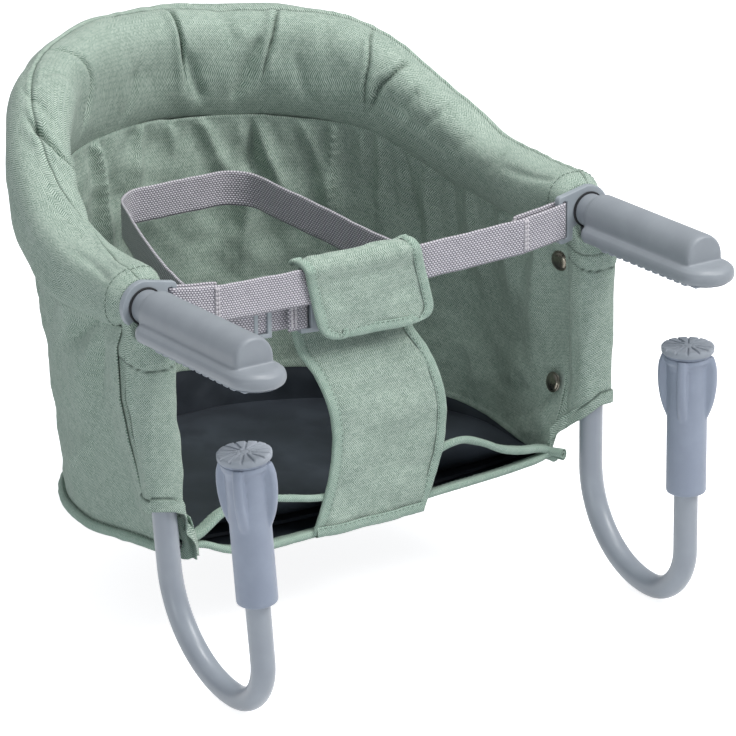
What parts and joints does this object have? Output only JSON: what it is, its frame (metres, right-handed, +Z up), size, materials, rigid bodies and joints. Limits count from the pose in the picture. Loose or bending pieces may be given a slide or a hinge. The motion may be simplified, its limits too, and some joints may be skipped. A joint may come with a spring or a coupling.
{
  "type": "hook-on table chair",
  "caption": "Fabric seat hung in a bent tube hoop whose two arms lie on a table top, with folding hooks and screw clamps that grip it from below.",
  "frame": {"origin": "on the table's top face, midway between the two arms, level with the rear ends of the arm grips", "axes": "+X to the right as seen from the table, +Y away from the table towards the backrest, +Z up"},
  "size_m": [0.3986, 0.4362, 0.3734],
  "materials": {
    "seat_fabric": "woven, matt",
    "floor_cloth": "coated cloth, satin",
    "board": "matt",
    "webbing": "woven, matt",
    "frame_tube": "satin powder coat",
    "grip_plastic": "satin",
    "strap_plastic": "satin",
    "knob_plastic": "satin",
    "rubber": "matt",
    "steel": "plain",
    "snap_metal": "dark nickel"
  },
  "bodies": {
    "seat_frame": {"padded_roll": "seat_fabric", "back_panel": "seat_fabric", "bottom_piping": "seat_fabric", "crotch_strap": "seat_fabric", "crotch_flap": "seat_fabric", "left_side_panel": "seat_fabric", "right_side_panel": "seat_fabric", "left_pocket_top": "seat_fabric", "right_pocket_top": "seat_fabric", "floor_upper_layer": "floor_cloth", "floor_lower_layer": "floor_cloth", "seat_board": "board", "front_webbing": "webbing", "lap_belt": "webbing", "hoop_tube": "frame_tube", "left_grip": "grip_plastic", "right_grip": "grip_plastic", "left_strap_anchor": "strap_plastic", "right_strap_anchor": "strap_plastic", "buckle_socket": "strap_plastic", "buckle_tongue": "strap_plastic", "belt_adjuster": "strap_plastic", "left_grip_sole": "rubber", "right_grip_sole": "rubber", "left_fold_bracket": "steel", "right_fold_bracket": "steel", "left_fold_rivet": "steel", "right_fold_rivet": "steel", "left_upper_snap": "snap_metal", "right_upper_snap": "snap_metal", "left_lower_snap": "snap_metal", "right_lower_snap": "snap_metal"},
    "left_hook": {"left_hook_tube": "frame_tube", "left_clamp_screw": "steel", "left_thread_insert": "strap_plastic", "left_hook_pocket": "seat_fabric"},
    "left_pad": {"left_clamp_disc": "rubber", "left_disc_plug": "knob_plastic"},
    "left_knob": {"left_clamp_knob": "knob_plastic", "left_knob_nut": "steel"},
    "right_hook": {"right_hook_tube": "frame_tube", "right_clamp_screw": "steel", "right_thread_insert": "strap_plastic", "right_hook_pocket": "seat_fabric"},
    "right_pad": {"right_clamp_disc": "rubber", "right_disc_plug": "knob_plastic"},
    "right_knob": {"right_clamp_knob": "knob_plastic", "right_knob_nut": "steel"}
  },
  "joints": [
    {"name": "left_hook_fold", "type": "hinge", "parent": "seat_frame", "child": "left_hook", "pos_m": [-0.179, 0.008, -0.028], "axis": [0, -1, 0], "range_deg": [-4.5, 83.5], "deforming": ["left_pocket_top"]},
    {"name": "left_clamp_lift", "type": "slide", "parent": "left_hook", "child": "left_pad", "axis": [-0.0785, 0, 0.9969], "range_m": [-0.012, 0.025]},
    {"name": "left_knob_turn", "type": "hinge", "parent": "left_pad", "child": "left_knob", "pos_m": [-0.17735, -0.1, -0.04893], "axis": [-0.0785, 0, 0.9969], "range_deg": [-540, 1000]},
    {"name": "right_hook_fold", "type": "hinge", "parent": "seat_frame", "child": "right_hook", "pos_m": [0.179, 0.008, -0.028], "axis": [0, 1, 0], "range_deg": [0, 75], "deforming": ["right_pocket_top"]},
    {"name": "right_clamp_lift", "type": "slide", "parent": "right_hook", "child": "right_pad", "axis": [0, 0, 1], "range_m": [-0.012, 0.025]},
    {"name": "right_knob_turn", "type": "hinge", "parent": "right_pad", "child": "right_knob", "pos_m": [0.179, -0.1, -0.049], "axis": [0, 0, 1], "range_deg": [-540, 1000]}
  ],
  "couplings": [
    {"joint": "left_knob_turn", "follows": "left_clamp_lift", "rad_per_m": 628.32},
    {"joint": "right_knob_turn", "follows": "right_clamp_lift", "rad_per_m": 628.32}
  ]
}
